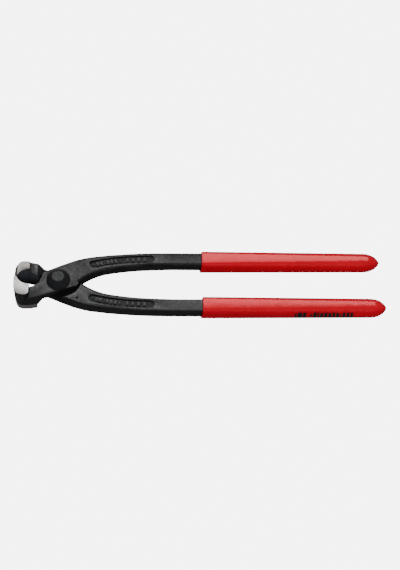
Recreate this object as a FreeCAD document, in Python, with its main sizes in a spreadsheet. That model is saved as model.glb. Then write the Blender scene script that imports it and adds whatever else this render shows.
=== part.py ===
import FreeCAD, Part
import math
import os

import Sketcher
from FreeCAD import Vector

# End-cutting tying nippers, 300 mm, lying flat.
# X runs from the pivot to the handles, Z is the pivot axis and points up.
# The origin is the centre of the flat foot of the rivet, so the joint's mid-plane is half a head up.
# Lever A has the handle at +Y and the jaw at -Y.  Lever B is the same forging, turned half a turn about X.
# The two are ground by hand, so their side bevels differ, and the dipped sleeves differ a little in length.

DRIVING_SIZES = {
    "overall_length": 302.0,
    "upper_sleeve_short": 2.2,
    "jaw_reach": 35.6,
    "head_height": 24.0,
    "plate_thickness": 6.5,
    "lap_gap": 0.1,
    "edge_gap": 0.1,
    "jaw_inner_reach": 33.5,
    "jaw_hollow_depth": 7.1,
    "jaw_outer_depth": 17.0,
    "upper_plate_step": 23.2,
    "lower_plate_step": 18.0,
    "upper_lap_step": 17.2,
    "lower_lap_step": 23.0,
    "lap_side_height": 7.0,
    "jaw_ramp_start": 17.0,
    "jaw_ramp_end": 12.0,
    "upper_bevel_width": 0.5,
    "lower_bevel_width": 2.8,
    "bevel_height": 6.6,
    "shoulder_radius": 16.2,
    "jaw_seat_radius": 15.8,
    "arm_outer_offset": 27.8,
    "arm_width": 12.0,
    "arm_thickness": 9.6,
    "arm_slope_start": 12.0,
    "arm_slope_end": 33.0,
    "arm_edge_round": 1.0,
    "arm_palm_round": 2.4,
    "arm_straight_start": 93.0,
    "tang_end": 250.0,
    "grind_corner_round": 3.0,
    "panel_width": 7.0,
    "panel_depth": 1.1,
    "punch_diameter": 2.0,
    "punch_depth": 0.6,
    "rivet_shank_diameter": 9.0,
    "rivet_running_clearance": 0.1,
    "rivet_head_diameter": 19.4,
    "rivet_flat_diameter": 10.0,
    "rivet_end_play": 0.06,
    "sleeve_start": 115.0,
    "sleeve_wall": 1.8,
    "sleeve_nib": 0.8,
}

document = FreeCAD.newDocument("tying_nippers")
sheet = document.addObject("Spreadsheet::Sheet", "sizes")
for row, (alias, value) in enumerate(DRIVING_SIZES.items(), start=1):
    sheet.set(f"A{row}", alias)
    sheet.set(f"B{row}", str(value))
    sheet.setAlias(f"B{row}", alias)
document.recompute()


def size(alias):
    """Return one driving size from the sheet, in millimetres."""
    return float(sheet.get(alias))


def point(x, y):
    """Return a point of a sketch."""
    return Vector(x, y, 0)


def line(start, end):
    """Return a straight sketch edge between two points."""
    return Part.LineSegment(start, end)


def arc(start, through, end):
    """Return a circular sketch edge through three points."""
    return Part.Arc(start, through, end)


def curve(*points):
    """Return a smooth sketch edge through the given points."""
    spline = Part.BSplineCurve()
    spline.interpolate(list(points))
    return spline


def polygon(*corners):
    """Return the straight edges of a closed outline."""
    return [line(a, b) for a, b in zip(corners, corners[1:] + corners[:1])]


def sketch_on(body, name, role, edges, height=0.0):
    """Draw edges on one of the body's origin planes, moved along its normal."""
    plane = next(item for item in body.Origin.OriginFeatures if item.Role == role)
    sketch = body.newObject("Sketcher::SketchObject", name)
    sketch.AttachmentSupport = [(plane, "")]
    sketch.MapMode = "FlatFace"
    sketch.AttachmentOffset = FreeCAD.Placement(Vector(0, 0, height), FreeCAD.Rotation())
    for edge in edges:
        sketch.addGeometry(edge)
    return sketch


def pad(body, name, sketch, length, symmetric=False):
    """Extrude a sketch; the length is an expression on the sheet."""
    feature = body.newObject("PartDesign::Pad", name)
    feature.Profile = sketch
    feature.SideType = "Symmetric" if symmetric else "One side"
    feature.setExpression("Length", length)
    document.recompute()
    return feature


def pocket(body, name, sketch, length=None, symmetric=False, reverse=False):
    """Cut a sketch out of the body and make sure that the cut removed something."""
    before = body.Shape.Volume
    feature = body.newObject("PartDesign::Pocket", name)
    feature.Profile = sketch
    feature.SideType = "Symmetric" if symmetric else "One side"
    feature.Reversed = reverse
    if length is None:
        feature.Type = "ThroughAll"
    else:
        feature.setExpression("Length", length)
    document.recompute()
    if body.Shape.Volume > before - 0.01:
        raise RuntimeError(f"{name} cut nothing")
    return feature


def round_edges(body, name, radius, wanted):
    """Fillet every edge of the body that the test picks; the radius is an expression."""
    chosen = [f"Edge{i}" for i, edge in enumerate(body.Shape.Edges, start=1) if wanted(edge)]
    if not chosen:
        raise RuntimeError(f"{name} found no edge")
    base = body.Tip
    feature = body.newObject("PartDesign::Fillet", name)
    feature.Base = (base, chosen)
    feature.setExpression("Radius", radius)
    document.recompute()
    if "Invalid" in feature.State:
        raise RuntimeError(f"{name} failed on {chosen}")
    return feature


# ---------------------------------------------------------------- levers

def lever_outline():
    """Return the plan outline of lever A: jaw, joint plate, arm and tang."""
    outer = size("arm_outer_offset")
    inner = outer - size("arm_width")
    straight = size("arm_straight_start")
    end = size("tang_end")
    hollow = size("jaw_hollow_depth")
    deepest = size("jaw_outer_depth")
    half_gap = size("edge_gap") / 2
    tip_inside = point(-size("jaw_inner_reach"), -half_gap)
    tip_outside = point(-size("jaw_reach") + 0.2, -half_gap)
    hollow_middle = point(-24.5, -hollow)
    plate_corner = point(-15.3, -1.9)
    plate_shoulder = point(-11.9, 8.0)
    neck = point(-7.6, 10.0)
    front_corner = point(-35.2, -10.5)
    jaw_back = point(-28.6, -deepest + 0.1)
    jaw_heel = point(-15.0, -14.9)
    heel_end = point(13.4, -5.6)
    crotch_corner = point(16.0, -2.5)
    outer_start = point(straight, outer)
    inner_start = point(straight, inner)
    return [
        line(point(end, inner), point(end, outer)),
        line(point(end, outer), outer_start),
        curve(outer_start, point(73, outer - 0.2), point(47, outer - 1.8), point(20.8, outer - 6.0),
              point(7.7, outer - 10.9), neck),
        line(neck, plate_shoulder),
        line(plate_shoulder, plate_corner),
        arc(plate_corner, point(-19.2, -5.3), hollow_middle),
        arc(hollow_middle, point(-29.8, -4.9), tip_inside),
        line(tip_inside, tip_outside),
        arc(tip_outside, point(-size("jaw_reach"), -5.6), front_corner),
        arc(front_corner, point(-33.2, -14.9), jaw_back),
        arc(jaw_back, point(-21.6, -deepest + 0.4), jaw_heel),
        line(jaw_heel, heel_end),
        arc(heel_end, point(15.4, -4.3), crotch_corner),
        curve(crotch_corner, point(18.8, 1.0), point(23.8, 4.6), point(33.9, 9.5), point(47, 12.4),
              point(60, 14.1), inner_start),
        line(inner_start, point(end, inner)),
    ]


def panel_outline():
    """Return the outline of the long stadium panel that follows the curve of the arm."""
    half = size("panel_width") / 2
    centre = curve(point(27.8, 15.9), point(40.0, 18.7), point(55.0, 20.6), point(74.5, 21.5))
    first, last = centre.FirstParameter, centre.LastParameter
    sides = {1: [], -1: []}
    for step in range(4):
        place = first + (last - first) * step / 3
        along = centre.tangent(place)[0]
        across = Vector(-along.y, along.x, 0)
        for side in sides:
            sides[side].append(centre.value(place) + across * half * side)
    start = centre.value(first) - centre.tangent(first)[0] * half
    end = centre.value(last) + centre.tangent(last)[0] * half
    return [
        curve(*sides[1]),
        arc(sides[1][-1], end, sides[-1][-1]),
        curve(*sides[-1]),
        arc(sides[-1][0], start, sides[1][0]),
    ]


def cut_levels(body, step, lap_step):
    """Cut the steps seen from the side: ground jaw, joint plate, lap and arm."""
    top = size("head_height") / 2
    beyond = top + 1
    plate = size("plate_thickness")
    half_arm = size("arm_thickness") / 2
    lap = size("lap_gap") / 2
    end = size("tang_end") + 1
    upper = polygon(
        point(-step, beyond),
        point(-step, plate),
        point(size("arm_slope_start"), plate),
        point(size("arm_slope_end"), half_arm),
        point(end, half_arm),
        point(end, beyond),
    )
    lower = polygon(
        point(-lap_step, -beyond),
        point(-lap_step, -size("lap_side_height")),
        point(-size("jaw_ramp_start"), -size("lap_side_height")),
        point(-size("jaw_ramp_end"), lap),
        point(0, lap),
        point(0, -half_arm),
        point(end, -half_arm),
        point(end, -beyond),
    )
    for name, edges in (("above_plate", upper), ("below_arm", lower)):
        profile = sketch_on(body, f"{name}_profile", "XZ_Plane", edges)
        pocket(body, name, profile, symmetric=True)


def cut_lap(body):
    """Cut the round lap seat that the other lever's plate turns in, set over towards the arm."""
    radius = size("shoulder_radius")
    jaw_side = size("jaw_seat_radius")
    middle = point(2.5, -1.5)
    top = point(middle.x, middle.y + radius)
    foot = point(middle.x, middle.y - radius)
    seat = sketch_on(body, "lap_seat_outline", "XY_Plane", [
        arc(foot, point(middle.x + radius, middle.y), top),
        line(top, point(0, jaw_side)),
        arc(point(0, jaw_side), point(-jaw_side, 0), point(0, -jaw_side)),
        line(point(0, -jaw_side), foot),
    ], size("lap_gap") / 2)
    pocket(body, "lap_seat", seat)


def grind_side_bevel(body, width):
    """Grind the long sloping bevel round the outside of the jaw, next to its lower face."""
    bottom = -size("head_height") / 2
    outer_half = -size("jaw_outer_depth") / 2

    def on_rim(edge):
        middle = edge.valueAt((edge.FirstParameter + edge.LastParameter) / 2)
        return abs(middle.z - bottom) < 0.01 and isinstance(edge.Curve, Part.Circle) and middle.y < outer_half

    base = body.Tip
    chosen = [f"Edge{i}" for i, edge in enumerate(body.Shape.Edges, start=1) if on_rim(edge)]
    feature = body.newObject("PartDesign::Chamfer", "side_bevel")
    feature.Base = (base, chosen)
    feature.ChamferType = "Two distances"
    feature.FlipDirection = True
    feature.setExpression("Size", width)
    feature.setExpression("Size2", "sizes.bevel_height")
    document.recompute()
    if "Invalid" in feature.State:
        raise RuntimeError("the side bevel failed")


def sink_panels(body):
    """Sink the long stadium panel into both faces of the arm."""
    height = size("arm_thickness") / 2 + 1
    for name, side, reverse in (("top_panel", 1, False), ("under_panel", -1, True)):
        outline = sketch_on(body, f"{name}_outline", "XY_Plane", panel_outline(), side * height)
        pocket(body, name, outline, "sizes.panel_depth + 1", reverse=reverse)


def punch_mark(body):
    """Punch the small round mark in the under face, just outside the lap seat."""
    place = point(15.6, 15.9)
    circle = Part.Circle(place, Vector(0, 0, 1), size("punch_diameter") / 2)
    outline = sketch_on(body, "punch_outline", "XY_Plane", [circle], -size("arm_thickness") / 2)
    pocket(body, "punch_mark", outline, "sizes.punch_depth", reverse=True)


def drill(body, clearance):
    """Drill the rivet hole; the expression adds the running clearance where the lever turns."""
    circle = Part.Circle(Vector(0, 0, 0), Vector(0, 0, 1), size("rivet_shank_diameter") / 2)
    outline = sketch_on(body, "rivet_hole_outline", "XY_Plane", [circle])
    outline.addConstraint(Sketcher.Constraint("Coincident", 0, 3, -1, 1))
    outline.addConstraint(Sketcher.Constraint("Diameter", 0, size("rivet_shank_diameter")))
    outline.renameConstraint(1, "bore")
    outline.setExpression("Constraints.bore", f"sizes.rivet_shank_diameter + {clearance}")
    pocket(body, "rivet_hole", outline, "sizes.head_height", symmetric=True)


def is_arm_edge(edge, palm):
    """Tell the long edges of the arm's two faces: on the palm side or on the outer side."""
    box = edge.BoundBox
    middle = edge.valueAt((edge.FirstParameter + edge.LastParameter) / 2)
    on_face = abs(middle.z) > size("arm_thickness") / 2 - 0.01
    if isinstance(edge.Curve, Part.Circle) or box.XLength < 8 or not on_face:
        return False
    centre = size("arm_outer_offset") - size("arm_width") / 2
    bend = max(0.0, size("arm_straight_start") - middle.x) / 9
    if palm:
        return middle.y < centre - bend and box.XMax > size("shoulder_radius")
    return middle.y > centre - bend and box.XMax > size("shoulder_radius") / 2


def cut_grind_corner(body, end_of_face):
    """Round off the corner where the raised ground face ends at the outside of the jaw."""
    radius = size("grind_corner_round")
    step = -end_of_face
    outside = -size("jaw_outer_depth")
    lean = radius * (1 - math.sqrt(0.5))
    start = point(step, outside + radius)
    end = point(step - radius, outside)
    scrap = [
        arc(start, point(step - lean, outside + lean), end),
        line(end, point(step - radius, outside - 1)),
        line(point(step - radius, outside - 1), point(step + 1, outside - 1)),
        line(point(step + 1, outside - 1), point(step + 1, outside + radius)),
        line(point(step + 1, outside + radius), start),
    ]
    outline = sketch_on(body, "grind_corner_outline", "XY_Plane", scrap, size("plate_thickness"))
    pocket(body, "grind_corner", outline, "sizes.head_height", reverse=True)


def make_lever(label, turned, clearance, step, lap_step, bevel):
    """Build one forged lever in a body of its own and set it in the joint."""
    body = document.addObject("PartDesign::Body", label)
    body.Label = label
    outline = sketch_on(body, "outline", "XY_Plane", lever_outline())
    pad(body, "blank", outline, "sizes.head_height", symmetric=True)
    cut_levels(body, step, lap_step)
    cut_lap(body)
    grind_side_bevel(body, bevel)
    cut_grind_corner(body, step)
    drill(body, clearance)
    round_edges(body, "outer_rounding", "sizes.arm_edge_round", lambda edge: is_arm_edge(edge, False))
    round_edges(body, "palm_rounding", "sizes.arm_palm_round", lambda edge: is_arm_edge(edge, True))
    sink_panels(body)
    punch_mark(body)
    angle = 180 if turned else 0
    body.Placement = FreeCAD.Placement(
        Vector(0, 0, size("head_height") / 2), FreeCAD.Rotation(Vector(1, 0, 0), angle))
    return body


# ---------------------------------------------------------------- rivet

def make_rivet():
    """Turn the pivot rivet: a shank with a coned, flat-topped head at each end."""
    body = document.addObject("PartDesign::Body", "pivot_rivet")
    body.Label = "pivot_rivet"
    shank = size("rivet_shank_diameter") / 2
    head = size("rivet_head_diameter") / 2
    flat = size("rivet_flat_diameter") / 2
    top = size("head_height") / 2
    upper_seat = size("plate_thickness")
    lower_seat = -upper_seat - size("rivet_end_play")
    shoulder = point((head + flat) / 2 + 0.6, (top + upper_seat) / 2 + 0.8)
    mirrored = point(shoulder.x, -shoulder.y)
    profile = sketch_on(body, "profile", "XZ_Plane", [
        line(point(0, -top), point(flat, -top)),
        arc(point(flat, -top), mirrored, point(head, lower_seat)),
        line(point(head, lower_seat), point(shank, lower_seat)),
        line(point(shank, lower_seat), point(shank, upper_seat)),
        line(point(shank, upper_seat), point(head, upper_seat)),
        arc(point(head, upper_seat), shoulder, point(flat, top)),
        line(point(flat, top), point(0, top)),
        line(point(0, top), point(0, -top)),
    ])
    turned = body.newObject("PartDesign::Revolution", "turned")
    turned.Profile = profile
    turned.ReferenceAxis = (profile, ["V_Axis"])
    turned.Angle = 360
    body.Placement = FreeCAD.Placement(Vector(0, 0, top), FreeCAD.Rotation())
    document.recompute()
    return body


# ---------------------------------------------------------------- sleeves

def rounded_rectangle(centre, width, height, inner_round, outer_round):
    """Return a rectangle about (centre, 0) with its own rounding on each side, drawn in Y and Z."""
    left, right = centre - width / 2, centre + width / 2
    low, high = -height / 2, height / 2
    lean = 1 - math.sqrt(0.5)

    def corner(x, y, sign_x, sign_y, radius):
        near = point(x - sign_x * radius * lean, y - sign_y * radius * lean)
        along_x = point(x - sign_x * radius, y)
        along_y = point(x, y - sign_y * radius)
        return along_x, near, along_y

    a1, a2, a3 = corner(left, low, -1, -1, inner_round)
    b1, b2, b3 = corner(right, low, 1, -1, outer_round)
    c1, c2, c3 = corner(right, high, 1, 1, outer_round)
    d1, d2, d3 = corner(left, high, -1, 1, inner_round)
    return [line(a1, b1), arc(b1, b2, b3), line(b3, c3), arc(c3, c2, c1),
            line(c1, d1), arc(d1, d2, d3), line(d3, a3), arc(a3, a2, a1)]


def make_sleeve(label, turned, short):
    """Build one dipped sleeve: a thick sock over the tang that closes in a pinched bullet end."""
    body = document.addObject("PartDesign::Body", label)
    body.Label = label
    wall = size("sleeve_wall")
    width = size("arm_width") + 2 * wall
    height = size("arm_thickness") + 2 * wall
    centre = size("arm_outer_offset") - size("arm_width") / 2
    start = size("sleeve_start")
    nib_width, nib_height, nib_round = 3.0, 2.4, 1.0
    tip = size("overall_length") - size("jaw_reach") - short
    nib_start = tip - size("sleeve_nib")
    end = size("tang_end") + wall
    mouth = sketch_on(body, "mouth", "YZ_Plane", rounded_rectangle(centre, width, height, 4.6, 3.6), start)
    pad(body, "grip", mouth, "sizes.tang_end + sizes.sleeve_wall - sizes.sleeve_start")
    sections = []
    for number, (along, share) in enumerate(((0.0, 1.0), (0.45, 0.88), (0.8, 0.6), (1.0, 0.26)), start=1):
        place = end + (nib_start - end) * along
        rounding = 3.6 + 0.4 * number
        edges = rounded_rectangle(centre, width * share, height * share, rounding * share, rounding * share)
        sections.append(sketch_on(body, f"end_section_{number}", "YZ_Plane", edges, place))
    bullet = body.newObject("PartDesign::AdditiveLoft", "bullet_end")
    bullet.Profile = sections[0]
    bullet.Sections = sections[1:]
    document.recompute()
    nib = sketch_on(body, "nib_section", "YZ_Plane", rounded_rectangle(
        centre, nib_width, nib_height, nib_round, nib_round), nib_start)
    pad(body, "nib", nib, "sizes.sleeve_nib")
    bore_edges = rounded_rectangle(centre, size("arm_width"), size("arm_thickness"),
                                   size("arm_palm_round"), size("arm_edge_round"))
    bore = sketch_on(body, "bore_section", "YZ_Plane", bore_edges, start)
    pocket(body, "bore", bore, "sizes.tang_end - sizes.sleeve_start", reverse=True)
    angle = 180 if turned else 0
    body.Placement = FreeCAD.Placement(
        Vector(0, 0, size("head_height") / 2), FreeCAD.Rotation(Vector(1, 0, 0), angle))
    document.recompute()
    return body


def check_document(parts):
    """Stop if any object failed, or any part has no valid single solid."""
    for item in document.Objects:
        if "Invalid" in item.State or "Error" in item.State:
            raise RuntimeError(f"{item.Label} failed: {item.State}")
    for part in parts:
        if part.Shape.isNull() or not part.Shape.isValid() or len(part.Shape.Solids) != 1:
            raise RuntimeError(f"{part.Label} is not one valid solid")


parts = [
    make_lever("upper_lever", False, "0",
               size("upper_plate_step"), size("upper_lap_step"), "sizes.upper_bevel_width"),
    make_lever("lower_lever", True, "sizes.rivet_running_clearance",
               size("lower_plate_step"), size("lower_lap_step"), "sizes.lower_bevel_width"),
    make_rivet(),
    make_sleeve("upper_grip_sleeve", False, size("upper_sleeve_short")),
    make_sleeve("lower_grip_sleeve", True, 0),
]
document.recompute()
check_document(parts)
os.makedirs("parts", exist_ok=True)
for part in parts:
    part.Shape.exportStep(f"parts/{part.Label}.step")
    box = part.Shape.BoundBox
    print(f"{part.Label}: {box.XLength:.1f} x {box.YLength:.1f} x {box.ZLength:.1f} mm, "
          f"{part.Shape.Volume / 1000:.2f} cm3")
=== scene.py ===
"""Looks for a pair of long-handled end-cutting nippers with dipped red sleeves.

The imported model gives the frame: two forged levers, a rivet and two sleeves, in metres. The pivot axis is +Z
through the origin, the jaws are at -X and the handles at +X. This script dresses that frame.
"""
import logging
import math
from dataclasses import dataclass, field
from enum import Enum
from functools import cache

import bmesh
import bpy
from mathutils import Matrix, Vector


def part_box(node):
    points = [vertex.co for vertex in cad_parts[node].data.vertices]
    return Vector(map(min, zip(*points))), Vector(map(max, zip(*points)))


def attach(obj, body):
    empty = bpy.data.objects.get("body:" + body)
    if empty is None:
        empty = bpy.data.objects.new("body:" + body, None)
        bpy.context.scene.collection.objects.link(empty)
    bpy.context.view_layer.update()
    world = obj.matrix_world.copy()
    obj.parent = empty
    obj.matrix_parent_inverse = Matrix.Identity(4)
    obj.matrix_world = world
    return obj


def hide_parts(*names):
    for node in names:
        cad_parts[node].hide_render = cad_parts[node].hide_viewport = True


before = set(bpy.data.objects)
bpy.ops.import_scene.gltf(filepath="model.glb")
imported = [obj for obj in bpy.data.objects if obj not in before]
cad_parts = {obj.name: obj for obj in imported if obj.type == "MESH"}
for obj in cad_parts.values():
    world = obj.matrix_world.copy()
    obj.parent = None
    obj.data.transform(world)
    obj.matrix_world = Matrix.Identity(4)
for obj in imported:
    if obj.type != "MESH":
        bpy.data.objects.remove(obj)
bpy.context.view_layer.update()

MM = 0.001
HALF_TURN = math.pi
Colour = tuple[float, float, float]
LOG = logging.getLogger("nippers")


class Half(Enum):
    """Which lever a piece belongs to: its body, and the side of the pivot where its handle lies."""

    UPPER = ("upper_lever_body", 1)
    LOWER = ("lower_lever_body", -1)

    @property
    def body(self) -> str:
        """Name of the CAD body that the pieces of this half ride on."""
        return self.value[0]

    @property
    def side(self) -> int:
        """Sign of Y where this half's handle lies."""
        return self.value[1]

    @property
    def word(self) -> str:
        """Lower-case word used in piece names."""
        return self.name.lower()


@cache
def mid_plane() -> float:
    """Height of the joint's mid-plane, half way up the rivet."""
    low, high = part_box("pivot_rivet")
    return (low[2] + high[2]) / 2


def turn_over(half: Half) -> Matrix:
    """Give the transform from the upper lever's place to a half's own place.

    Args:
        half: The half that the piece belongs to.

    Returns:
        Identity for the upper half, and half a turn about the long axis through the mid-plane for the lower.
    """
    if half is Half.UPPER:
        return Matrix.Identity(4)
    lift = Matrix.Translation((0, 0, mid_plane()))
    return lift @ Matrix.Rotation(HALF_TURN, 4, "X") @ lift.inverted()


def make_piece(
    name: str, bm: bmesh.types.BMesh, material: bpy.types.Material, smooth_angle: float
) -> bpy.types.Object:
    """Turn a bmesh into an object at the origin, shaded smooth below an angle.

    Args:
        name: Name of the new piece.
        bm: The finished mesh, which is freed here.
        material: The piece's first material.
        smooth_angle: Edges sharper than this, in degrees, stay sharp.

    Returns:
        The new object, linked to the scene.
    """
    mesh = bpy.data.meshes.new(name)
    limit = math.radians(smooth_angle)
    for face in bm.faces:
        face.smooth = True
    for edge in bm.edges:
        edge.smooth = edge.calc_face_angle(0.0) < limit
    bm.to_mesh(mesh)
    bm.free()
    mesh.materials.append(material)
    piece = bpy.data.objects.new(name, mesh)
    bpy.context.scene.collection.objects.link(piece)
    return piece


# ---------------------------------------------------------------- shader building


class Graph:
    """A thin helper for adding nodes and links to one node tree."""

    def __init__(self, tree: bpy.types.NodeTree) -> None:
        """Keep the tree that nodes are added to."""
        self.tree = tree

    def add(self, kind: str, **settings: object) -> bpy.types.Node:
        """Add a node.

        Args:
            kind: The node's type name.
            **settings: Properties of the node to set.

        Returns:
            The new node.
        """
        node = self.tree.nodes.new(kind)
        for name, value in settings.items():
            setattr(node, name, value)
        return node

    def link(self, source: bpy.types.NodeSocket, target: bpy.types.NodeSocket) -> None:
        """Join an output to an input."""
        self.tree.links.new(source, target)

    def noise(
        self, coords: bpy.types.NodeSocket, scale: float, detail: float, rough: float = 0.5
    ) -> bpy.types.NodeSocket:
        """Add a noise texture.

        Args:
            coords: Where the texture is read.
            scale: Features per metre.
            detail: Octaves.
            rough: Weight of the finer octaves.

        Returns:
            The noise value, from 0 to 1.
        """
        node = self.add("ShaderNodeTexNoise")
        node.inputs["Scale"].default_value = scale
        node.inputs["Detail"].default_value = detail
        node.inputs["Roughness"].default_value = rough
        self.link(coords, node.inputs["Vector"])
        return node.outputs["Fac"]

    def remap(
        self, value: bpy.types.NodeSocket, low: float, high: float, to_low: float, to_high: float
    ) -> bpy.types.NodeSocket:
        """Map a value's range to another, clamped.

        Args:
            value: The value to map.
            low: Start of its range.
            high: End of its range.
            to_low: Result at the start.
            to_high: Result at the end.

        Returns:
            The mapped value.
        """
        node = self.add("ShaderNodeMapRange", clamp=True)
        self.link(value, node.inputs["Value"])
        sockets = ("From Min", "From Max", "To Min", "To Max")
        for socket, number in zip(sockets, (low, high, to_low, to_high)):
            node.inputs[socket].default_value = number
        return node.outputs["Result"]

    def spread(self, noise: bpy.types.NodeSocket, to_low: float, to_high: float) -> bpy.types.NodeSocket:
        """Stretch the range that noise mostly keeps to over another range.

        Args:
            noise: A noise value.
            to_low: Result for the noise's usual low.
            to_high: Result for its usual high.

        Returns:
            The stretched value.
        """
        return self.remap(noise, 0.3, 0.7, to_low, to_high)

    def math(
        self, operation: str, first: bpy.types.NodeSocket, second: bpy.types.NodeSocket | float
    ) -> bpy.types.NodeSocket:
        """Join two values.

        Args:
            operation: Name of the Math node's operation.
            first: First value.
            second: Second value, a socket or a number.

        Returns:
            The result.
        """
        node = self.add("ShaderNodeMath", operation=operation)
        self.link(first, node.inputs[0])
        if isinstance(second, bpy.types.NodeSocket):
            self.link(second, node.inputs[1])
        else:
            node.inputs[1].default_value = second
        return node.outputs[0]

    def mix(
        self, share: bpy.types.NodeSocket, first: bpy.types.NodeSocket | Colour,
        second: bpy.types.NodeSocket | Colour,
    ) -> bpy.types.NodeSocket:
        """Blend two colours.

        Args:
            share: How much of the second colour shows.
            first: First colour, a socket or (r, g, b).
            second: Second colour, a socket or (r, g, b).

        Returns:
            The blended colour.
        """
        node = self.add("ShaderNodeMix", data_type="RGBA")
        self.link(share, node.inputs["Factor"])
        colour_sockets = [socket for socket in node.inputs if socket.type == "RGBA"]
        for socket, colour in zip(colour_sockets, (first, second)):
            if isinstance(colour, bpy.types.NodeSocket):
                self.link(colour, socket)
            else:
                socket.default_value = (*colour, 1.0)
        return next(socket for socket in node.outputs if socket.type == "RGBA")


class SharedEffects:
    """Shader node groups that the steel finishes draw on, each built once."""

    def __init__(self) -> None:
        """Build the groups."""
        self.forge_scale = self._forge_scale()
        self.grind_lines = self._grind_lines()

    @staticmethod
    def _new(
        name: str, inputs: dict[str, float], outputs: dict[str, str]
    ) -> tuple[bpy.types.NodeTree, Graph]:
        """Start a group.

        Args:
            name: The group's name.
            inputs: Name and default of each number that it takes.
            outputs: Name and socket type of each thing that it gives.

        Returns:
            The group and a helper on it.
        """
        group = bpy.data.node_groups.new(name, "ShaderNodeTree")
        for label, default in inputs.items():
            socket = group.interface.new_socket(name=label, in_out="INPUT", socket_type="NodeSocketFloat")
            socket.default_value = default
        for label, kind in outputs.items():
            group.interface.new_socket(name=label, in_out="OUTPUT", socket_type=kind)
        return group, Graph(group)

    def _forge_scale(self) -> bpy.types.NodeTree:
        """Mottling, pits and fine grain of a forged, phosphated skin.

        Returns:
            A group that gives a mottle mask, a roughness offset and a bump height.
        """
        group, graph = self._new(
            "ForgeScale",
            {"Grain": 1.0, "Pits": 1.0},
            {"Mottle": "NodeSocketFloat", "Rough": "NodeSocketFloat", "Height": "NodeSocketFloat"},
        )
        given = graph.add("NodeGroupInput")
        result = graph.add("NodeGroupOutput")
        coords = graph.add("ShaderNodeTexCoord").outputs["Object"]
        broad = graph.noise(coords, scale=90.0, detail=5.0, rough=0.6)
        fine = graph.noise(coords, scale=2200.0, detail=4.0, rough=0.7)
        middle = graph.noise(coords, scale=520.0, detail=3.0, rough=0.55)
        cells = graph.add("ShaderNodeTexVoronoi", feature="F1")
        cells.inputs["Scale"].default_value = 900.0
        graph.link(coords, cells.inputs["Vector"])
        pits = graph.remap(cells.outputs["Distance"], 0.0, 0.35, -1.0, 0.0)
        sparse = graph.remap(middle, 0.52, 0.66, 0.0, 1.0)
        pits = graph.math("MULTIPLY", graph.math("MULTIPLY", pits, sparse), given.outputs["Pits"])
        grain = graph.math("MULTIPLY", graph.math("SUBTRACT", fine, 0.5), given.outputs["Grain"])
        height = graph.math("ADD", graph.math("ADD", grain, pits), graph.math("MULTIPLY", middle, 0.8))
        graph.link(graph.spread(broad, 0.0, 1.0), result.inputs["Mottle"])
        graph.link(graph.spread(middle, -0.07, 0.09), result.inputs["Rough"])
        graph.link(height, result.inputs["Height"])
        return group

    def _grind_lines(self) -> bpy.types.NodeTree:
        """Fine scratches of a grinding wheel, running nearly along Y.

        Returns:
            A group that gives a line mask and a bump height.
        """
        group, graph = self._new(
            "GrindLines",
            {},
            {"Lines": "NodeSocketFloat", "Height": "NodeSocketFloat"},
        )
        result = graph.add("NodeGroupOutput")
        coords = graph.add("ShaderNodeTexCoord").outputs["Object"]
        stretch = graph.add("ShaderNodeMapping")
        stretch.inputs["Rotation"].default_value = (0.0, 0.0, math.radians(12))
        stretch.inputs["Scale"].default_value = (1.0, 0.06, 1.0)
        graph.link(coords, stretch.inputs["Vector"])
        lines = graph.noise(stretch.outputs["Vector"], scale=4200.0, detail=3.0, rough=0.6)
        patches = graph.spread(graph.noise(coords, scale=160.0, detail=3.0), 0.7, 1.2)
        graph.link(graph.math("MULTIPLY", lines, patches), result.inputs["Lines"])
        graph.link(lines, result.inputs["Height"])
        return group


@dataclass(frozen=True)
class Finish:
    """A finish: a Principled material with its own graph."""

    name: str
    colour: Colour
    roughness: float
    metallic: float = 0.0
    specular: float = 0.5

    def start(self) -> tuple[bpy.types.Material, Graph, bpy.types.Node]:
        """Make the material.

        Returns:
            The material, a helper on its tree, and its Principled shader.
        """
        material = bpy.data.materials.new(self.name)
        material.use_nodes = True
        graph = Graph(material.node_tree)
        shader = material.node_tree.nodes["Principled BSDF"]
        shader.inputs["Base Color"].default_value = (*self.colour, 1.0)
        shader.inputs["Roughness"].default_value = self.roughness
        shader.inputs["Metallic"].default_value = self.metallic
        shader.inputs["Specular IOR Level"].default_value = self.specular
        material.diffuse_color = (*self.colour, 1.0)
        return material, graph, shader

    @staticmethod
    def bump(
        graph: Graph, shader: bpy.types.Node, height: bpy.types.NodeSocket, depth: float, strength: float
    ) -> None:
        """Feed a height to the shader's normal.

        Args:
            graph: Helper on the material's tree.
            shader: The Principled shader.
            height: The height.
            depth: Metres of relief for a height of one.
            strength: Share of the bump that shows.
        """
        node = graph.add("ShaderNodeBump")
        node.inputs["Distance"].default_value = depth
        node.inputs["Strength"].default_value = strength
        graph.link(height, node.inputs["Height"])
        graph.link(node.outputs["Normal"], shader.inputs["Normal"])


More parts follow.
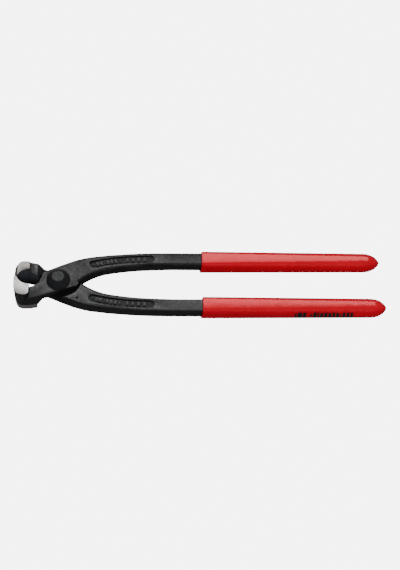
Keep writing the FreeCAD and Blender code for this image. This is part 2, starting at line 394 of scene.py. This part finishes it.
@dataclass(frozen=True)
class ForgedSteel(Finish):
    """Black phosphated forging: dull, mottled, a little pitted, rubbed paler along its edges, with painted
    shade in its creases.
    """

    worn: Colour = (0.03, 0.03, 0.032)
    # Colour of the painted shade in hollow corners.
    painted_crease_shade: Colour = (0.004, 0.004, 0.004)
    grain: float = 1.0
    pits: float = 1.0
    mottle: float = 0.15
    # Extra roughness in the hollow corners that carry the painted shade.
    crease_roughness: float = 0.6
    polish: float = 0.05
    relief: float = 0.06 * MM

    def build(self, effects: SharedEffects) -> bpy.types.Material:
        """Build the material.

        Args:
            effects: The shared node groups.

        Returns:
            The finished material.
        """
        material, graph, shader = self.start()
        scale = graph.add("ShaderNodeGroup", node_tree=effects.forge_scale)
        scale.inputs["Grain"].default_value = self.grain
        scale.inputs["Pits"].default_value = self.pits
        dark = tuple((1 - self.mottle) * channel for channel in self.colour)
        light = tuple((1 + self.mottle) * channel for channel in self.colour)
        skin = graph.mix(scale.outputs["Mottle"], dark, light)
        wear = graph.add("ShaderNodeAttribute", attribute_name="edge_wear").outputs["Fac"]
        patchy = graph.math("MULTIPLY", wear, graph.remap(scale.outputs["Mottle"], 0.1, 0.9, 0.25, 1.0))
        crevice_shade = graph.add("ShaderNodeAttribute", attribute_name="crevice_shade").outputs["Fac"]
        rubbed = graph.mix(patchy, skin, self.worn)
        # Painted shade: hollow corners are mixed towards a near-black colour.
        graph.link(graph.mix(crevice_shade, rubbed, self.painted_crease_shade), shader.inputs["Base Color"])
        rough = graph.math("ADD", scale.outputs["Rough"], self.roughness)
        rough = graph.math("ADD", rough, graph.math("MULTIPLY", crevice_shade, self.crease_roughness))
        rough = graph.math("SUBTRACT", rough, graph.math("MULTIPLY", patchy, self.polish))
        graph.link(rough, shader.inputs["Roughness"])
        self.bump(graph, shader, scale.outputs["Height"], self.relief, strength=0.55)
        return material


@dataclass(frozen=True)
class GroundSteel(Finish):
    """Bright steel off a grinding wheel, its colour darker towards +Y."""

    # The darker tone of the grinding grain's speckles and lines.
    shade: Colour = (0.3, 0.28, 0.275)
    # A darker tone that the colour is mixed towards along +Y.
    dull: Colour = (0.15, 0.143, 0.128)
    dull_share: float = 0.8
    dull_start: float = -4.0 * MM
    dull_end: float = 6.0 * MM
    relief: float = 0.03 * MM

    def build(self, effects: SharedEffects) -> bpy.types.Material:
        """Build the material.

        Args:
            effects: The shared node groups.

        Returns:
            The finished material.
        """
        material, graph, shader = self.start()
        grind = graph.add("ShaderNodeGroup", node_tree=effects.grind_lines)
        coords = graph.add("ShaderNodeTexCoord").outputs["Object"]
        speck = graph.remap(graph.noise(coords, scale=800.0, detail=4.0, rough=0.8), 0.38, 0.62, 0.0, 1.0)
        lines = graph.remap(grind.outputs["Lines"], 0.3, 0.75, 0.0, 1.0)
        grainy = graph.math("MULTIPLY", graph.math("ADD", speck, lines), 0.5)
        grain = graph.mix(grainy, self.shade, self.colour)
        split = graph.add("ShaderNodeSeparateXYZ")
        graph.link(coords, split.inputs["Vector"])
        # Mixed towards the darker tone along +Y.
        fade = graph.remap(split.outputs["Y"], self.dull_start, self.dull_end, 0.0, self.dull_share)
        graph.link(graph.mix(fade, grain, self.dull), shader.inputs["Base Color"])
        rough = graph.spread(grind.outputs["Lines"], self.roughness + 0.1, self.roughness - 0.08)
        graph.link(rough, shader.inputs["Roughness"])
        self.bump(graph, shader, grind.outputs["Height"], self.relief, strength=0.4)
        return material


@dataclass(frozen=True)
class DippedVinyl(Finish):
    """Glossy dipped vinyl with faint ripples and a coloured sheen."""

    deep: Colour = (0.5, 0.0, 0.01)
    sheen: Colour = (1.0, 0.16, 0.17)
    relief: float = 0.25 * MM

    def build(self, effects: SharedEffects) -> bpy.types.Material:
        """Build the material.

        Args:
            effects: The shared node groups, which this finish doesn't need.

        Returns:
            The finished material.
        """
        material, graph, shader = self.start()
        coords = graph.add("ShaderNodeTexCoord").outputs["Object"]
        cloud = graph.spread(graph.noise(coords, scale=45.0, detail=3.0), 0.0, 0.5)
        peel = graph.noise(coords, scale=700.0, detail=2.0, rough=0.4)
        ripple = graph.noise(coords, scale=110.0, detail=2.0, rough=0.4)
        rough = graph.spread(peel, self.roughness - 0.03, self.roughness + 0.05)
        height = graph.math("ADD", ripple, graph.math("MULTIPLY", peel, 0.12))
        graph.link(graph.mix(cloud, self.colour, self.deep), shader.inputs["Base Color"])
        graph.link(rough, shader.inputs["Roughness"])
        shader.inputs["Specular Tint"].default_value = (*self.sheen, 1.0)
        self.bump(graph, shader, height, self.relief, strength=0.35)
        return material


@dataclass
class Palette:
    """All the materials, by short names."""

    effects: SharedEffects = field(default_factory=SharedEffects)
    skin: Colour = (0.012, 0.0124, 0.0135)

    def __post_init__(self) -> None:
        """Build every material."""
        finishes = {
            "forged": ForgedSteel("forged_steel", self.skin, 0.35, specular=0.43),
            "relief": ForgedSteel("relief_steel", self.skin, 0.42, specular=0.34),
            # A lighter, bluish copy of the forged skin for the inner wall of the jaw's hollow: painted light.
            "hollow": ForgedSteel("hollow_painted_light", (0.07, 0.072, 0.085), 0.5),
            "rivet": ForgedSteel(
                "rivet_steel", (0.014, 0.0145, 0.016), 0.36, specular=0.2, grain=0.6, pits=0.4),
            "ground": GroundSteel("ground_steel", (0.56, 0.52, 0.51), 0.38, metallic=0.75),
            "vinyl": DippedVinyl("red_sleeve", (0.66, 0.0005, 0.016), 0.17, specular=1.0),
            "print": ForgedSteel("black_print", (0.01, 0.01, 0.011), 0.5, pits=0.0),
        }
        self.materials = {name: finish.build(self.effects) for name, finish in finishes.items()}

    def __getitem__(self, name: str) -> bpy.types.Material:
        """Give one material by its short name."""
        return self.materials[name]


# ---------------------------------------------------------------- forged levers


@dataclass
class ForgedLever:
    """One forged lever: jaw, joint plate and arm, with its hammer-soft edges and its ground jaw faces."""

    half: Half
    weld: float = 0.004 * MM
    flatten_angle: float = 0.6
    forged_round: float = 0.55 * MM
    sharp_angle: float = 24.0
    jaw_limit: float = -16.8 * MM
    broad_area: float = 8.0 * MM * MM
    floor_shade: float = 0.55
    spread_steps: int = 3
    lap_depth: float = 1.0 * MM
    bevel_height: float = 6.4 * MM
    hollow_centre: float = -24.3 * MM
    hollow_reach: float = 9.4 * MM
    rounding_steps: int = 3
    full_wear_angle: float = 0.5
    full_crevice_angle: float = 0.3
    climb: float = 0.85
    flat_margin: float = 0.2 * MM
    front_margin: float = 1.2 * MM

    @property
    def node(self) -> str:
        """Name of the CAD node that this piece stands for."""
        return f"{self.half.word}_lever"

    def build(self, palette: Palette) -> bpy.types.Object:
        """Refine a copy of the CAD lever and dress it.

        Args:
            palette: The materials.

        Returns:
            The finished lever.
        """
        bm = self._clean_copy()
        self._round_edges(bm)
        self._weigh_edges(bm)
        piece = make_piece(f"{self.node}_forging", bm, palette["forged"], smooth_angle=38)
        piece.data.materials.append(palette["ground"])
        # The third material paints light onto the inner wall of the jaw's hollow.
        piece.data.materials.append(palette["hollow"])
        self._mark_ground_faces(piece)
        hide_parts(self.node)
        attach(piece, self.half.body)
        LOG.info("%s: %d faces", piece.name, len(piece.data.polygons))
        return piece

    def _clean_copy(self) -> bmesh.types.BMesh:
        """Merge the CAD mesh's loose triangles and flatten its plane faces into polygons.

        Returns:
            The cleaned mesh.
        """
        bm = bmesh.new()
        bm.from_mesh(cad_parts[self.node].data)
        bmesh.ops.remove_doubles(bm, verts=bm.verts, dist=self.weld)
        limit = math.radians(self.flatten_angle)
        bmesh.ops.dissolve_limit(bm, angle_limit=limit, verts=bm.verts, edges=bm.edges)
        return bm

    def _round_edges(self, bm: bmesh.types.BMesh) -> None:
        """Soften every hard edge, as a drop forging's edges are.

        Args:
            bm: The lever's mesh.
        """
        limit = math.radians(self.sharp_angle)
        hard = [edge for edge in bm.edges if edge.is_manifold and edge.calc_face_angle(0.0) > limit]
        bmesh.ops.bevel(
            bm, geom=hard, offset=self.forged_round, offset_type="OFFSET", affect="EDGES",
            segments=self.rounding_steps, profile=0.5, material=-1, clamp_overlap=True, loop_slide=True,
        )

    def _weigh_edges(self, bm: bmesh.types.BMesh) -> None:
        """Store how convex and how hollow each corner is, for the finish to rub paler or to paint shade into.

        Args:
            bm: The lever's mesh.
        """
        wear = bm.verts.layers.float.new("edge_wear")
        crevice_shade = bm.verts.layers.float.new("crevice_shade")
        bm.normal_update()
        flats = {vertex for face in bm.faces if face.calc_area() > self.broad_area for vertex in face.verts}
        for vertex in bm.verts:
            angles = [edge.calc_face_angle_signed(0.0) for edge in vertex.link_edges if edge.is_manifold]
            # How much shade is painted at each vertex, from its sharpest hollow edge.
            vertex[crevice_shade] = min(1.0, max(0.0, -min(angles, default=0.0) / self.full_crevice_angle))
            if vertex not in flats:
                vertex[wear] = min(1.0, max(0.0, max(angles, default=0.0) / self.full_wear_angle))
        self._spread_crevices(bm, crevice_shade, flats)

    def _spread_crevices(
        self, bm: bmesh.types.BMesh, layer: bmesh.types.BMLayerItem, flats: set[bmesh.types.BMVert]
    ) -> None:
        """Let the painted shade of each hollow corner climb its walls, but reach less far over broad faces.

        Args:
            bm: The lever's mesh.
            layer: The layer of painted shade in hollow corners.
            flats: The corners of the broad faces.
        """
        for _ in range(self.spread_steps):
            near = {
                vertex: max((edge.other_vert(vertex)[layer] for edge in vertex.link_edges), default=0.0)
                for vertex in bm.verts if vertex not in flats
            }
            for vertex, value in near.items():
                vertex[layer] = max(vertex[layer], self.climb * value)
        # Broad faces away from the lap keep less of the painted shade.
        for vertex in flats:
            if abs(vertex.co.z - mid_plane()) > self.lap_depth:
                vertex[layer] *= self.floor_shade

    def _mark_ground_faces(self, piece: bpy.types.Object) -> None:
        """Give the jaw's flat, bevelled and front faces the ground finish, and the inner wall of its hollow a
        lighter steel that paints light there.

        Args:
            piece: The lever, with the forged, ground and painted-light hollow materials in that order.
        """
        low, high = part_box(self.node)
        side = self.half.side
        forged_slot, ground_slot, hollow_light_slot = range(3)
        for face in piece.data.polygons:
            centre, normal = face.center, face.normal
            above_low, below_high = centre.z - low[2], high[2] - centre.z
            in_bevel = (above_low if self.half is Half.UPPER else below_high) < self.bevel_height
            if centre.x < self.jaw_limit:
                flat = abs(normal.z) > 0.98 and min(above_low, below_high) < self.flat_margin
                front = normal.x < -0.95 and centre.x < low[0] + self.front_margin
                outside = centre.y * side < 0 and (normal.y * side < -0.2 or normal.x < -0.5)
                face.material_index = ground_slot if flat or front or (in_bevel and outside) else forged_slot
            # The hollow's inner wall takes the lighter steel as painted light.
            in_hollow = math.hypot(centre.x - self.hollow_centre, centre.y) < self.hollow_reach
            if in_hollow and abs(normal.z) < 0.3 and normal.y * side > 0.05:
                face.material_index = hollow_light_slot


# ---------------------------------------------------------------- grip sleeves


@dataclass(frozen=True)
class Station:
    """One cross-section of a sleeve: a rounded rectangle at a place along X."""

    along: float
    width: float
    height: float
    rounding: float
    slant: float = 0.0


@dataclass
class GripSleeve:
    """A thick dipped sock over a tang, with a soft lip at the mouth and a blunt closed end."""

    half: Half
    width: float = 15.5 * MM
    height: float = 13.2 * MM
    bore_width: float = 12.1 * MM
    bore_height: float = 9.7 * MM
    bore_end: float = 250.1 * MM
    mouth_slant: float = 0.13
    lip: float = 0.5 * MM
    mouth_depth: float = 6.0 * MM
    body_steps: int = 9
    corner_steps: int = 10
    bore_rounding: float = 1.6 * MM
    mouth_rounding: float = 3.5 * MM
    end_rounding: float = 6.0 * MM
    end_swell: float = 0.4
    roundest: float = 0.49
    lip_turns: tuple[float, ...] = (0.15, 0.5, 0.85)
    end_profile: tuple[tuple[float, float], ...] = (
        (14.0, 1.0), (11.5, 0.985), (9.5, 0.95), (7.7, 0.895), (6.0, 0.81), (4.4, 0.7),
        (3.0, 0.57), (1.8, 0.42), (0.9, 0.27), (0.3, 0.14), (0.0, 0.05),
    )

    @property
    def node(self) -> str:
        """Name of the CAD node that this piece stands for."""
        return f"{self.half.word}_grip_sleeve"

    @property
    def centre(self) -> float:
        """Y of the sleeve's middle in the upper lever's place."""
        low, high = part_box(self.node)
        return abs(low[1] + high[1]) / 2

    def stations(self) -> list[Station]:
        """List the sections from the bottom of the bore, out round the lip and on to the tip.

        Returns:
            The sections in order.
        """
        low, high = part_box(self.node)
        start, tip = low[0], high[0]
        slant = self.mouth_slant * self.half.side
        lead = start + self.mouth_slant * self.height / 2
        wall_width, wall_height = self.width - self.bore_width, self.height - self.bore_height
        body_start, body_end = start + self.mouth_depth, tip - self.end_profile[0][0] * MM
        rows = [
            Station(self.bore_end, self.bore_width, self.bore_height, self.bore_rounding),
            Station(body_start, self.bore_width, self.bore_height, self.bore_rounding, slant),
            Station(lead + self.lip, self.bore_width, self.bore_height, self.bore_rounding, slant),
        ]
        for turn in self.lip_turns:
            drop = self.lip * (1 - math.sin(math.pi * turn))
            share = (1 - math.cos(math.pi * turn)) / 2
            rounding = self.bore_rounding + (self.mouth_rounding - self.bore_rounding) * share
            rows.append(Station(lead + drop, self.bore_width + wall_width * share,
                                self.bore_height + wall_height * share, rounding, slant))
        rows.append(Station(lead + 1.2 * self.lip, self.width, self.height, self.mouth_rounding, slant))
        for step in range(self.body_steps):
            share = step / self.body_steps
            along = body_start + (body_end - body_start) * share
            rounding = self.mouth_rounding + (self.end_rounding - self.mouth_rounding) * share
            rows.append(Station(along, self.width, self.height, rounding))
        for back, share in self.end_profile:
            swollen = self.end_rounding * (1 + self.end_swell * (1 - share))
            rounding = min(swollen, self.roundest * self.height) * share
            rows.append(Station(tip - back * MM, self.width * share, self.height * share, rounding))
        return rows

    def ring(self, bm: bmesh.types.BMesh, station: Station) -> list[bmesh.types.BMEdge]:
        """Draw one section as a closed loop of edges.

        Args:
            bm: The sleeve's mesh.
            station: The section.

        Returns:
            The loop's edges.
        """
        before = set(bm.edges)
        corners = bmesh.ops.create_grid(bm, x_segments=1, y_segments=1, size=0.5)["verts"]
        bmesh.ops.scale(bm, verts=corners, vec=(station.height, station.width, 1.0))
        bmesh.ops.bevel(bm, geom=corners, offset=station.rounding, offset_type="OFFSET", affect="VERTICES",
                        segments=self.corner_steps, profile=0.5, material=-1)
        loop = [edge for edge in bm.edges if edge not in before]
        verts = list({vertex for edge in loop for vertex in edge.verts})
        scrap = list({face for edge in loop for face in edge.link_faces})
        bmesh.ops.delete(bm, geom=scrap, context="FACES_ONLY")
        bmesh.ops.rotate(bm, verts=verts, cent=(0, 0, 0), matrix=Matrix.Rotation(HALF_TURN / 2, 3, "Y"))
        for vertex in verts:
            vertex.co.x += station.slant * vertex.co.z
        bmesh.ops.translate(bm, verts=verts, vec=(station.along, self.centre, mid_plane()))
        return loop

    def mesh(self) -> bmesh.types.BMesh:
        """Bridge the sections into one closed skin.

        Returns:
            The sleeve's mesh, in its own half's place.
        """
        bm = bmesh.new()
        loops = [self.ring(bm, station) for station in self.stations()]
        for first, second in zip(loops, loops[1:]):
            bmesh.ops.bridge_loops(bm, edges=first + second)
        for end in (loops[0], loops[-1]):
            bmesh.ops.holes_fill(bm, edges=end, sides=0)
        bmesh.ops.transform(bm, matrix=turn_over(self.half), verts=bm.verts)
        bmesh.ops.recalc_face_normals(bm, faces=bm.faces)
        return bm

    def build(self, palette: Palette) -> bpy.types.Object:
        """Make the sleeve.

        Args:
            palette: The materials.

        Returns:
            The finished sleeve.
        """
        piece = make_piece(f"{self.node}_skin", self.mesh(), palette["vinyl"], smooth_angle=50)
        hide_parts(self.node)
        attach(piece, self.half.body)
        LOG.info("%s: %d faces", piece.name, len(piece.data.polygons))
        return piece


@dataclass
class SleevePrint:
    """A row of plain printed bars of uneven width along the outer side of a sleeve."""

    sleeve: GripSleeve
    thickness: float = 0.05 * MM
    low: float = -2.6 * MM
    high: float = 4.4 * MM
    clearance: float = 0.6 * MM
    weld: float = 0.01 * MM
    bars: tuple[tuple[float, float, float], ...] = (
        (191.0, 1.5, 0.8), (193.1, 3.8, 1.0), (197.4, 2.6, 1.0), (203.6, 1.3, 0.7), (205.8, 2.8, 1.0),
        (209.2, 1.4, 1.0), (211.4, 2.6, 0.9), (214.8, 2.5, 1.0), (218.1, 2.5, 0.9), (221.4, 2.2, 1.0),
        (224.4, 2.5, 0.9), (227.7, 1.1, 0.7), (229.6, 2.3, 1.0), (232.8, 2.5, 1.0), (236.1, 2.1, 1.0),
    )

    def build(self, palette: Palette) -> bpy.types.Object:
        """Cut the bars out of the sleeve's own skin and lift them off it by the ink's thickness.

        Args:
            palette: The materials.

        Returns:
            The finished row.
        """
        print_bm = bmesh.new()
        skin = self.sleeve.mesh()
        for start, length, share in self.bars:
            bar = self.bar(skin.copy(), start * MM, (start + length) * MM, share)
            scratch = bpy.data.meshes.new("bar")
            bar.to_mesh(scratch)
            bar.free()
            print_bm.from_mesh(scratch)
            bpy.data.meshes.remove(scratch)
        skin.free()
        piece = make_piece(f"{self.sleeve.node}_print", print_bm, palette["print"], smooth_angle=40)
        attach(piece, self.sleeve.half.body)
        LOG.info("%s: %d faces", piece.name, len(piece.data.polygons))
        return piece

    def bar(self, bm: bmesh.types.BMesh, start: float, end: float, share: float) -> bmesh.types.BMesh:
        """Cut one bar.

        Args:
            bm: A copy of the sleeve's skin, which is cut down to the bar.
            start: Its first X.
            end: Its last X.
            share: Its height as a share of the row's.

        Returns:
            The bar, a thin closed shell.
        """
        side = self.sleeve.half.side
        middle, half_height = (self.low + self.high) / 2, (self.high - self.low) / 2 * share
        top = mid_plane() + middle + half_height
        bottom = mid_plane() + middle - half_height
        centre = self.sleeve.centre * side
        bore = self.sleeve.bore_width / 2 + self.clearance
        cuts = (
            ((start, 0, 0), (-1, 0, 0)),
            ((end, 0, 0), (1, 0, 0)),
            ((0, 0, top), (0, 0, 1)),
            ((0, 0, bottom), (0, 0, -1)),
            ((0, centre + side * bore, 0), (0, -side, 0)),
        )
        for place, normal in cuts:
            geometry = [*bm.verts, *bm.edges, *bm.faces]
            bmesh.ops.bisect_plane(bm, geom=geometry, plane_co=place, plane_no=normal, clear_outer=True)
        bmesh.ops.remove_doubles(bm, verts=bm.verts, dist=self.weld)
        bm.normal_update()
        for vertex in bm.verts:
            vertex.co += vertex.normal * self.thickness
        bmesh.ops.solidify(bm, geom=list(bm.faces), thickness=0.8 * self.thickness)
        bmesh.ops.recalc_face_normals(bm, faces=bm.faces)
        return bm


# ---------------------------------------------------------------- rivet


@dataclass
class PivotRivet:
    """The pivot rivet: a shank between two coned heads with slightly dished flats."""

    head_radius: float = 9.6 * MM
    rim: float = 0.7 * MM
    shoulder_radius: float = 8.6 * MM
    shoulder_drop: float = 4.1 * MM
    flat_radius: float = 5.0 * MM
    shank_radius: float = 4.5 * MM
    head_height: float = 5.5 * MM
    turns: int = 96
    merge_distance: float = 0.003 * MM

    def profile(self) -> list[tuple[float, float]]:
        """List the half-profile from the mid-plane up to the middle of the flat.

        Returns:
            Radius and height above the mid-plane of each point.
        """
        top = mid_plane()
        seat = top - self.head_height
        return [
            (self.shank_radius, 0.0),
            (self.shank_radius, seat),
            (self.head_radius - 0.2 * MM, seat),
            (self.head_radius, seat + 0.2 * MM),
            (self.head_radius, seat + self.rim),
            (self.shoulder_radius, top - self.shoulder_drop + 0.6 * MM),
            (self.flat_radius + 0.25 * MM, top - 0.3 * MM),
            (self.flat_radius, top - 0.06 * MM),
            (self.flat_radius - 0.2 * MM, top),
            (self.flat_radius - 1.4 * MM, top - 0.05 * MM),
            (0.0, top - 0.08 * MM),
        ]

    def build(self, palette: Palette) -> bpy.types.Object:
        """Spin the upper half, mirror it and close the seam.

        Args:
            palette: The materials.

        Returns:
            The finished rivet.
        """
        bm = bmesh.new()
        verts = [bm.verts.new((radius, 0, height)) for radius, height in self.profile()]
        edges = [bm.edges.new(pair) for pair in zip(verts, verts[1:])]
        bmesh.ops.spin(bm, geom=verts + edges, cent=(0, 0, 0), axis=(0, 0, 1), angle=math.tau,
                       steps=self.turns, use_merge=True)
        bmesh.ops.remove_doubles(bm, verts=bm.verts, dist=self.merge_distance)
        bmesh.ops.mirror(bm, geom=[*bm.verts, *bm.edges, *bm.faces], matrix=Matrix.Identity(4),
                         merge_dist=self.merge_distance, axis="Z")
        bmesh.ops.remove_doubles(bm, verts=bm.verts, dist=self.merge_distance)
        bmesh.ops.recalc_face_normals(bm, faces=bm.faces)
        bmesh.ops.translate(bm, verts=bm.verts, vec=(0, 0, mid_plane()))
        piece = make_piece("pivot_rivet_turned", bm, palette["rivet"], smooth_angle=30)
        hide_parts("pivot_rivet")
        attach(piece, Half.UPPER.body)
        LOG.info("%s: %d faces", piece.name, len(piece.data.polygons))
        return piece


# ---------------------------------------------------------------- panel relief


@dataclass
class PanelRelief:
    """Plain raised bars that stand in for forged marks in an arm's two sunk panels."""

    half: Half
    floor: float = 3.7 * MM
    rise: float = 0.8 * MM
    bedding: float = 0.4
    lift_share: float = 0.3
    across: float = 4.4 * MM
    dot_radius: float = 1.1 * MM
    dot_taper: float = 0.8
    dot_share: float = 0.02
    edge_round: float = 0.15 * MM
    centre_line: tuple[tuple[float, float], ...] = ((27.8, 15.9), (40.0, 18.7), (55.0, 20.6), (74.5, 21.5))
    bars: tuple[tuple[float, float], ...] = (
        (0.1, 2.4), (0.18, 2.6), (0.26, 1.0), (0.32, 2.4), (0.4, 2.6), (0.48, 2.4),
        (0.56, 1.2), (0.68, 2.4), (0.76, 2.4), (0.84, 2.6), (0.92, 2.4),
    )

    @property
    def depth(self) -> float:
        """Full height of a mark, with the part that is bedded in the panel's floor."""
        return (1 + self.bedding) * self.rise

    def place(self, share: float) -> tuple[Vector, float]:
        """Find a point of the panel's centre line.

        Args:
            share: From 0 at the rivet end to 1 at the sleeve end.

        Returns:
            The point, and the line's direction there, in radians from X.
        """
        knots = [Vector((x * MM, y * MM)) for x, y in self.centre_line]
        last = len(knots) - 2
        span = min(int(share * (last + 1)), last)
        local = share * (last + 1) - span
        before = knots[span - 1] if span else 2 * knots[0] - knots[1]
        after = knots[span + 2] if span < last else 2 * knots[-1] - knots[-2]
        first, second = knots[span], knots[span + 1]
        leave, arrive = (second - before) / 2, (after - first) / 2
        a = 2 * first - 2 * second + leave + arrive
        b = -3 * first + 3 * second - 2 * leave - arrive
        spot = ((a * local + b) * local + leave) * local + first
        slope = (3 * a * local + 2 * b) * local + leave
        return spot, math.atan2(slope.y, slope.x)

    def build(self, palette: Palette) -> bpy.types.Object:
        """Set the bars and the dot in both panels of this half's arm.

        Args:
            palette: The materials.

        Returns:
            The finished relief.
        """
        bm = bmesh.new()
        for face in (1, -1):
            for share, length in self.bars:
                spot, angle = self.place(share)
                bar = bmesh.ops.create_cube(bm, size=1.0)["verts"]
                bmesh.ops.scale(bm, verts=bar, vec=(length * MM, self.across, self.depth))
                self.set_down(bm, bar, spot, angle, face)
            spot, angle = self.place(self.dot_share)
            dot = bmesh.ops.create_cone(bm, cap_ends=True, segments=24, radius1=self.dot_radius,
                                        radius2=self.dot_taper * self.dot_radius, depth=self.depth)["verts"]
            if face < 0:
                bmesh.ops.rotate(bm, verts=dot, cent=(0, 0, 0), matrix=Matrix.Rotation(HALF_TURN, 3, "X"))
            self.set_down(bm, dot, spot, angle, face)
        edges = [edge for edge in bm.edges if edge.calc_face_angle(0.0) > 1.0]
        bmesh.ops.bevel(bm, geom=edges, offset=self.edge_round, offset_type="OFFSET", affect="EDGES",
                        segments=2, profile=0.5, material=-1)
        bmesh.ops.transform(bm, matrix=turn_over(self.half), verts=bm.verts)
        piece = make_piece(f"{self.half.word}_panel_relief", bm, palette["relief"], smooth_angle=40)
        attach(piece, self.half.body)
        LOG.info("%s: %d faces", piece.name, len(piece.data.polygons))
        return piece

    def set_down(
        self, bm: bmesh.types.BMesh, verts: list[bmesh.types.BMVert], spot: Vector, angle: float, face: int
    ) -> None:
        """Turn a mark along the panel and rest it on the panel's floor.

        Args:
            bm: The relief's mesh.
            verts: The mark's corners, about the origin.
            spot: Its place on the centre line.
            angle: The line's direction there.
            face: 1 for the upper face of the arm and -1 for the under face.
        """
        bmesh.ops.rotate(bm, verts=verts, cent=(0, 0, 0), matrix=Matrix.Rotation(angle, 3, "Z"))
        lift = mid_plane() + face * (self.floor + self.lift_share * self.rise)
        bmesh.ops.translate(bm, verts=verts, vec=(spot.x, spot.y, lift))


# ---------------------------------------------------------------- studio


@dataclass
class Studio:
    """Camera, softboxes, world and floor."""

    target: tuple[float, float, float] = (0.115, -0.0003, 0.012)
    azimuth: float = 5.25
    elevation: float = 58.23
    roll: float = 4.74
    distance: float = 1.042
    lens: float = 80.5263
    sensor_width: float = 36.0
    near_clip: float = 0.01
    world_strength: float = 0.2
    floor_drop: float = 0.2 * MM
    floor_size: float = 6.0
    floor_glow: float = 7.0
    floor_share: float = 0.9

    def build(self) -> None:
        """Make everything."""
        self.camera()
        self.lights()
        self.floor()
        LOG.info("studio ready")

    def camera(self) -> None:
        """Aim the camera from the head side, well above the table."""
        data = bpy.data.cameras.new("camera")
        data.sensor_width = self.sensor_width
        data.lens = self.lens
        data.clip_start = self.near_clip
        camera = bpy.data.objects.new("camera", data)
        bpy.context.scene.collection.objects.link(camera)
        turn, tilt = math.radians(self.azimuth), math.radians(self.elevation)
        ahead = Vector((math.sin(turn) * math.cos(tilt), math.cos(turn) * math.cos(tilt), -math.sin(tilt)))
        camera.location = Vector(self.target) - ahead * self.distance
        level = ahead.to_track_quat("-Z", "Y").to_matrix().to_4x4()
        camera.rotation_euler = (level @ Matrix.Rotation(math.radians(self.roll), 4, "Z")).to_euler()
        bpy.context.scene.camera = camera

    def softbox(self, name: str, place: Vector, size: tuple[float, float], power: float) -> bpy.types.Object:
        """Hang one rectangular softbox that faces the tool.

        Args:
            name: Name of the light.
            place: Where it hangs, in metres.
            size: Its width and height.
            power: Its power in watts.

        Returns:
            The light.
        """
        data = bpy.data.lights.new(name, "AREA")
        data.shape = "RECTANGLE"
        data.size, data.size_y = size
        data.energy = power
        light = bpy.data.objects.new(name, data)
        light.location = place
        light.rotation_euler = (Vector(self.target) - place).to_track_quat("-Z", "Y").to_euler()
        bpy.context.scene.collection.objects.link(light)
        return light

    def lights(self) -> None:
        """Hang one softbox high behind, a fill in front that leaves no reflection, and set a dim world."""
        self.softbox("top_softbox", Vector((0.12, 1.05, 1.4)), (1.8, 0.5), power=20.5)
        fill = self.softbox("front_softbox", Vector((0.12, -1.1, 1.3)), (1.6, 0.8), power=18.0)
        fill.visible_glossy = False
        world = bpy.data.worlds.new("studio_world")
        world.use_nodes = True
        background = world.node_tree.nodes["Background"]
        background.inputs["Color"].default_value = (1.0, 1.0, 1.0, 1.0)
        background.inputs["Strength"].default_value = self.world_strength
        bpy.context.scene.world = world

    def floor(self) -> None:
        """Lay the floor: pale to the eye, and a dull grey to the tool so that its flanks stay dark."""
        bm = bmesh.new()
        bmesh.ops.create_grid(bm, x_segments=8, y_segments=8, size=self.floor_size / 2)
        bmesh.ops.translate(bm, verts=bm.verts, vec=(self.target[0], 0, -self.floor_drop))
        material, graph, shader = Finish("pale_floor", (0.16, 0.16, 0.16), 0.9).start()
        glow = graph.add("ShaderNodeEmission")
        glow.inputs["Color"].default_value = (1.0, 1.0, 1.0, 1.0)
        glow.inputs["Strength"].default_value = self.floor_glow
        seen = graph.add("ShaderNodeLightPath").outputs["Is Camera Ray"]
        dark = graph.add("ShaderNodeMixShader")
        graph.link(graph.math("MULTIPLY", seen, self.floor_share), dark.inputs["Fac"])
        graph.link(shader.outputs["BSDF"], dark.inputs[1])
        graph.link(glow.outputs["Emission"], dark.inputs[2])
        graph.link(dark.outputs["Shader"], material.node_tree.nodes["Material Output"].inputs["Surface"])
        make_piece("floor", bm, material, smooth_angle=30)


def main() -> None:
    """Build the studio and every piece in order."""
    logging.basicConfig(level=logging.INFO, format="%(name)s: %(message)s")
    palette = Palette()
    Studio().build()
    for half in Half:
        ForgedLever(half).build(palette)
        PanelRelief(half).build(palette)
        GripSleeve(half).build(palette)
    SleevePrint(GripSleeve(Half.LOWER)).build(palette)
    PivotRivet().build(palette)


if __name__ == "__main__":
    main()
